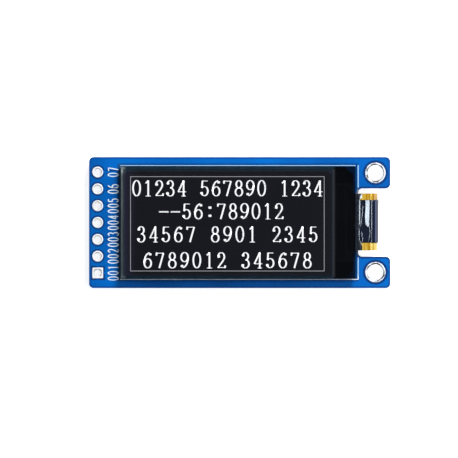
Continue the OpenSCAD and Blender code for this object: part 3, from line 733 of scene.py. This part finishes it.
def lit_image():
    bm = bmesh.new()
    for text, (x, y), step in LIT_ROWS:
        middle = (IMAGE_MID.x + x * PIXEL_X, IMAGE_MID.y + y * PIXEL_Y)
        write(bm, text, middle, LIT_CELL, step * PIXEL_X, LIT_PEN, IMAGE_LO.z, IMAGE_HI.z, serifs=True)
    made = piece("lit_digits", bm, "lit_pixels")
    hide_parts("lit_image")


def lit_border():
    """The thin lit line round the image, in four mitred strips."""
    bm = bmesh.new()
    x0, x1, y0, y1 = IMAGE_LO.x - LIT_FRAME / 2, IMAGE_HI.x, IMAGE_LO.y, IMAGE_HI.y
    w = LIT_FRAME
    outer = [(x0, y0), (x1, y0), (x1, y1), (x0, y1), (x0, y0)]
    inner = [(x0 + w, y0 + w), (x1 - w, y0 + w), (x1 - w, y1 - w), (x0 + w, y1 - w), (x0 + w, y0 + w)]
    z0, z1 = IMAGE_LO.z, IMAGE_HI.z
    rings = [[(*out, z0), (*into, z0), (*into, z1), (*out, z1)] for out, into in zip(outer, inner)]
    for pair in zip(rings, rings[1:]):
        sweep(bm, pair)
    made = piece("lit_border", bm, "lit_line")


# Plated holes, with their rings tinned into low rims

# The ring's face, from the hole out: (share of the ring's width, height in mm)
RIM = [(0.0, -0.13), (0.12, -0.075), (0.24, -0.02), (0.36, 0.020), (0.50, 0.034), (0.68, 0.034),
       (0.85, 0.024), (0.96, 0.006)]
# How far a square ring's rounded corners reach, for a half side of 1
SQUARE_CORNER = 1.34
HOLE_STEPS = 72


def ring_reach(half, a, is_square):
    """How far a ring's outline is from the hole's middle, in the direction a."""
    if not is_square:
        return half
    return min(half / max(abs(math.cos(a)), abs(math.sin(a))), half * SQUARE_CORNER)


def tinned_hole(name, hole_r, is_square=False):
    """A plated hole as one turned solid, its rim a little higher in some directions."""
    lo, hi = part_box(name)
    mid = (lo + hi) / 2
    flange_t = SKIN_Z - BOARD_HI.z
    barrel = hole_r + PLATING_T
    rings = []
    for i in range(HOLE_STEPS):
        a = math.radians(360 * i / HOLE_STEPS)
        width = ring_reach((hi.x - lo.x) / 2, a, is_square) - hole_r
        wobble = 1 + 0.18 * math.sin(2 * a + mid.y / MM) + 0.10 * math.sin(5 * a + 3 * mid.y / MM)
        ring = [(hole_r + width * share, hi.z + h * MM * (wobble if h > 0 else 1)) for share, h in RIM]
        ring += [(hole_r + width, hi.z - flange_t), (barrel, hi.z - flange_t)]
        ring += [(barrel, lo.z + flange_t), (hole_r + width, lo.z + flange_t)]
        ring += [(hole_r + width, lo.z), (hole_r, lo.z)]
        rings.append([(mid.x + r * math.cos(a), mid.y + r * math.sin(a), z) for r, z in ring])
    bm = bmesh.new()
    sweep(bm, rings, closed=True)
    made = piece(f"tinned_{name}", bm, "tinned_rim", smooth=True)
    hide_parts(name)


def tinned_holes():
    for n in range(1, 8):
        tinned_hole(f"header_pad_{n}", HEADER_HOLE_R, is_square=n == 1)
    for name in ("mounting_pad_upper", "mounting_pad_lower"):
        tinned_hole(name, MOUNT_HOLE_R)


# Printed numbers beside the header holes, one for each
HEADER_LABELS = ["001", "002", "003", "004", "005", "06", "07"]
LABEL_MID_X = -19.09 * MM
LABEL_CELL = (0.64 * MM, 1.66 * MM)
LABEL_STEP = 0.82 * MM
LABEL_PEN = (0.145 * MM, 0.145 * MM)


def header_labels():
    bm = bmesh.new()
    for n, text in enumerate(HEADER_LABELS, start=1):
        lo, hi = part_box(f"header_pad_{n}")
        write(bm, text, (LABEL_MID_X, (lo.y + hi.y) / 2), LABEL_CELL, LABEL_STEP, LABEL_PEN,
              SKIN_Z, SKIN_Z + INK_T, quarter_turn=True)
    made = piece("header_labels", bm, "white_ink")


# The cover film, which buckles a little between the glass and the fold

def ease(t):
    """From 0 to 1 as t does, with level ends."""
    return t * t * (3 - 2 * t)


def follow(path, y):
    """X on a path of (x, y) points in mm, at y, or None beyond its ends."""
    for (x0, y0), (x1, y1) in zip(path, path[1:]):
        if y1 <= y / MM <= y0:
            return (x0 + (x1 - x0) * ease((y0 - y / MM) / (y0 - y1))) * MM
    return None


# Buckles: thin ridges as (height, width, path) in mm. The last is a hollow that flattens the fold
# along one line.
RIDGES = [
    (0.0178, 0.12, [(18.56, 2.9), (18.46, 1.6), (18.27, 0.0), (18.05, -1.0)]),
    (0.0178, 0.12, [(18.31, -1.1), (18.40, -1.9), (18.49, -2.5), (18.44, -2.9), (18.36, -3.2)]),
    (0.0134, 0.09, [(19.54, -0.6), (19.60, -1.3), (19.57, -2.1), (19.46, -2.7), (19.53, -3.1)]),
    (-0.0044, 0.10, [(19.97, 3.9), (19.97, -1.0)]),
]
RIDGE_END = 0.4

# A broad swelling: it rises over SLOPE_FOOT mm, then falls at SLOPE between its two sides. Faces
# that fall at SLOPE towards +X mirror the strip lamp straight up.
SLOPE_LEFT = [(18.98, 3.5), (19.00, 2.3), (18.92, 1.2), (18.92, 0.4), (19.00, -0.3), (19.48, -0.95)]
SLOPE_RIGHT = [(19.64, 3.5), (19.62, 2.3), (19.60, 1.2), (19.56, 0.4), (19.58, -0.3), (19.60, -0.95)]
SLOPE_FOOT = 0.35
SLOPE = 0.12


def ridge(x, y, top, width, path):
    """Height of one ridge, which fades out over RIDGE_END mm at its ends."""
    at = follow(path, y)
    if at is None:
        return 0.0
    from_ends = min(path[0][1] - y / MM, y / MM - path[-1][1], RIDGE_END) / RIDGE_END
    return top * MM * from_ends ** 0.5 * math.exp(-((x - at) / (width * MM)) ** 2)


def broad_swelling(x, y):
    left, right = follow(SLOPE_LEFT, y), follow(SLOPE_RIGHT, y)
    if left is None:
        return 0.0
    if left < x < right:
        return SLOPE * (right - x)
    if left - SLOPE_FOOT * MM < x <= left:
        return SLOPE * (right - left) * ease((x - left) / (SLOPE_FOOT * MM) + 1)
    return 0.0


def swell(x, y):
    """Height of the cover film's buckles over the flex."""
    height = 0.0
    for top, width, path in RIDGES:
        height += ridge(x, y, top, width, path)
    return height + broad_swelling(x, y)


FILM_STEPS_FLAT, FILM_STEPS_TAIL, FILM_STEPS_ACROSS = 96, 8, 60
# Directions round the fold are in degrees, from 90 on top to -90 below. They step finely at first,
# then coarsely, and the buckles stop at SWELL_END.
FINE_TURN, FINE_STEPS, COARSE_STEPS = 0.8, 20, 40
SWELL_END = 70.0


def film_outline(mid_x):
    """The film's course as (X, direction): flat on top, round the fold and back underneath."""
    outline = [(COVER_TOP_X + (mid_x - COVER_TOP_X) * i / FILM_STEPS_FLAT, 90.0)
               for i in range(FILM_STEPS_FLAT)]
    bend = 90.0 - FINE_TURN * FINE_STEPS
    turns = [90.0 - FINE_TURN * i for i in range(FINE_STEPS)]
    turns += [bend - (bend + 90.0) / COARSE_STEPS * i for i in range(COARSE_STEPS + 1)]
    outline += [(mid_x, turn) for turn in turns]
    outline += [(mid_x + (COVER_LO.x - mid_x) * i / FILM_STEPS_TAIL, -90.0)
                for i in range(1, FILM_STEPS_TAIL + 1)]
    return outline


def cover_film():
    bm = bmesh.new()
    r = (COVER_HI.z - COVER_LO.z) / 2
    mid_x, mid_z = COVER_HI.x - r, (COVER_HI.z + COVER_LO.z) / 2
    grid = []
    for depth in (0, COVER_T):
        rows = []
        for x, turn in film_outline(mid_x):
            a = math.radians(turn)
            row = []
            for j in range(FILM_STEPS_ACROSS + 1):
                y = COVER_LO.y + (COVER_HI.y - COVER_LO.y) * j / FILM_STEPS_ACROSS
                rise = swell(x + r * math.cos(a), y) if turn > SWELL_END else 0.0
                reach = r - depth + rise
                row.append(bm.verts.new((x + reach * math.cos(a), y, mid_z + reach * math.sin(a))))
            rows.append(row)
        grid.append(rows)
    skin_faces(bm, grid)
    made = piece("cover_film", bm, "cover_film", smooth=True)
    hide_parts("flex_cover")


def skin_faces(bm, grid):
    """Faces between two matching grids of points, and round their rims."""
    outer, inner = grid
    for g in grid:
        for a, b in zip(g, g[1:]):
            for j in range(len(a) - 1):
                bm.faces.new((a[j], a[j + 1], b[j + 1], b[j]))
    last_row, last_column = len(outer) - 1, len(outer[0]) - 1
    rim = [(k, 0) for k in range(last_row)]
    rim += [(last_row, j) for j in range(last_column)]
    rim += [(k, last_column) for k in range(last_row, 0, -1)]
    rim += [(0, j) for j in range(last_column, 0, -1)]
    for (k, j), (m, n) in zip(rim, rim[1:] + rim[:1]):
        bm.faces.new((outer[k][j], outer[m][n], inner[m][n], inner[k][j]))


# Glue in the corner between the end of the glass and the flex: where it ends on the flex, and the
# width of its lip there, both down the flex as (mm, Y in mm). The lip falls at SLOPE.
BEAD_END = [(18.52, 4.5), (18.55, 4.15), (18.50, 3.85), (18.20, 3.5), (18.19, 0.1), (18.10, -0.8),
            (18.07, -1.7), (18.12, -2.6), (18.44, -3.3), (18.52, -3.7), (18.50, -4.4)]
BEAD_LIP = [(0.02, 4.5), (0.03, 4.3), (0.28, 4.1), (0.26, 3.85), (0.10, 3.5), (0.12, 0.1),
            (0.07, -0.8), (0.06, -1.9), (0.05, -2.8), (0.06, -3.2), (0.01, -3.6), (0.01, -4.4)]
BEAD_STEPS = 80
# The bead's face falls off from the glass at these shares of its width. It hugs the glass, then
# flattens out: how fast its height falls, and the slope of its foot
BEAD_SHARES = (0.0, 0.03, 0.07, 0.12, 0.19, 0.28, 0.42, 0.65, 1.0)
BEAD_FALL, FOOT_SLOPE = 0.12, 0.14
# Width in mm over which the bead steps up onto the film's edge
FILM_EDGE = 0.1


def bead_ring(lo, hi, y):
    """The bead's outline at y, with its foot on the film where the film lies under it."""
    end, lip = follow(BEAD_END, y), follow(BEAD_LIP, y)
    start = end - lip
    within = min(y - COVER_LO.y, COVER_HI.y - y) / MM
    on_film = min(max((within + FILM_EDGE) / FILM_EDGE, 0.1), 1.0)
    lip_z = lo.z + COVER_T * on_film + SLOPE * lip
    wobble = 1 + 0.04 * math.sin(y / MM * 2.6) + 0.03 * math.sin(y / MM * 6.5 + 1)
    height = (hi.z - lo.z) * min(wobble, 1) - (lip_z - lo.z)
    foot = FOOT_SLOPE * (start - lo.x) / height
    ring = [(lo.x, y, lo.z)]
    for u in BEAD_SHARES:
        fall = (1 - foot) * math.exp(-u / BEAD_FALL) + foot * (1 - u)
        ring.append((lo.x + (start - lo.x) * u, y, lip_z + height * fall))
    ring += [(start + lip * u, y, lip_z - SLOPE * lip * u) for u in (0.06, 0.94, 1.0)]
    return ring + [(end, y, lo.z)]


def glue_bead():
    lo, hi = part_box("glue_bead")
    y0, y1 = lo.y - TINY, hi.y + TINY
    bm = bmesh.new()
    sweep(bm, [bead_ring(lo, hi, y0 + (y1 - y0) * i / BEAD_STEPS) for i in range(BEAD_STEPS + 1)])
    made = piece("glue_fillet", bm, "dark_glue", smooth=True)
    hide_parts("glue_bead")


# Floor, light and camera

FLOOR_HALF = 1.5


def paper():
    """White paper that takes the object's shadow. What the camera, metal and glass see of it is
    brightened, with no more light on the object."""
    mat, tree, shader = material("floor")
    face = tones(tree, noise(tree, 40 * MM), (0.86, 0.86, 0.86), (0.88, 0.88, 0.88))
    finish(tree, shader, Base_Color=face, Roughness=1.0, Specular_IOR_Level=0.0)
    path = node(tree, "ShaderNodeLightPath")
    seen = maths(tree, "MAXIMUM", path.outputs["Is Camera Ray"], path.outputs["Is Glossy Ray"])
    seen = maths(tree, "MAXIMUM", seen, path.outputs["Is Transmission Ray"])
    white = node(tree, "ShaderNodeEmission", Color=(1, 1, 1, 1))
    tree.links.new(product(tree, seen, FLOOR_GLOW), white.inputs["Strength"])
    both = node(tree, "ShaderNodeAddShader")
    tree.links.new(shader.outputs["BSDF"], both.inputs[0])
    tree.links.new(white.outputs["Emission"], both.inputs[1])
    tree.links.new(both.outputs["Shader"], tree.nodes["Material Output"].inputs["Surface"])
    return mat


def floor():
    bm = bmesh.new()
    bmesh.ops.create_grid(bm, x_segments=8, y_segments=8, size=FLOOR_HALF)
    mesh = bpy.data.meshes.new("floor")
    bm.to_mesh(mesh)
    bm.free()
    mesh.materials.append(paper())
    made = bpy.data.objects.new("floor", mesh)
    made.location.z = cad_lo.z - TINY
    bpy.context.collection.objects.link(made)


def lamp(name, azimuth, elevation, distance, size, power, colour=(1, 1, 1)):
    """An oblong soft lamp aimed at the middle of the part. Azimuth 0 is +X and 90 is +Y."""
    data = bpy.data.lights.new(name, "AREA")
    data.color = colour
    data.shape = "RECTANGLE"
    data.size, data.size_y = size
    data.energy = power
    made = bpy.data.objects.new(name, data)
    a, e = math.radians(azimuth), math.radians(elevation)
    way = Vector((math.cos(a) * math.cos(e), math.sin(a) * math.cos(e), math.sin(e)))
    made.location = (cad_lo + cad_hi) / 2 + way * distance
    made.rotation_euler = way.to_track_quat("Z", "Y").to_euler()
    bpy.context.collection.objects.link(made)


def world(zenith, horizon):
    """A dim studio, darker towards its walls, with one cold bright wall at +X for the fold to
    mirror. The camera itself sees it white."""
    made = bpy.data.worlds.new("studio")
    made.use_nodes = True
    tree = made.node_tree
    split = node(tree, "ShaderNodeSeparateXYZ")
    way = node(tree, "ShaderNodeTexCoord").outputs["Generated"]
    tree.links.new(way, split.inputs["Vector"])
    seen = node(tree, "ShaderNodeLightPath").outputs["Is Camera Ray"]
    unseen = maths(tree, "SUBTRACT", 1.0, seen)
    level = remap(tree, split.outputs["Z"], 0.0, 0.9, horizon, zenith)
    wall = remap(tree, split.outputs["X"], 0.90, 0.94, 0.0, SIDE_GLOW, smooth=True)
    level = product(tree, maths(tree, "ADD", level, wall), unseen)
    cold = product(tree, remap(tree, split.outputs["X"], 0.86, 0.92), unseen)
    finish(tree, tree.nodes["Background"], Strength=maths(tree, "ADD", level, seen),
           Color=blend(tree, cold, (1.0, 1.0, 1.0), (0.48, 0.58, 1.0)))
    bpy.context.scene.world = made


# The photograph looks straight down: the width of the view, and where its middle is
VIEW_WIDTH = 69.17 * MM
VIEW_MIDDLE = (-1.609 * MM, -0.974 * MM)
VIEW_HEIGHT = 0.3


def camera():
    data = bpy.data.cameras.new("camera")
    data.type = "ORTHO"
    data.ortho_scale = VIEW_WIDTH
    data.clip_start, data.clip_end = 1 * MM, 5.0
    made = bpy.data.objects.new("camera", data)
    made.location = (*VIEW_MIDDLE, VIEW_HEIGHT)
    bpy.context.collection.objects.link(made)
    bpy.context.scene.camera = made


bpy.context.scene.view_settings.view_transform = "Standard"
camera()
world(zenith=0.20, horizon=0.12)
lamp("key", azimuth=63, elevation=40, distance=0.40, size=(0.20, 0.12), power=1.75)
lamp("strip", azimuth=0, elevation=74, distance=0.45, size=(0.30, 0.012), power=0.50,
     colour=(0.78, 0.90, 1.0))
floor()
dress_cad()
lit_image()
lit_border()
tinned_holes()
header_labels()
cover_film()
glue_bead()
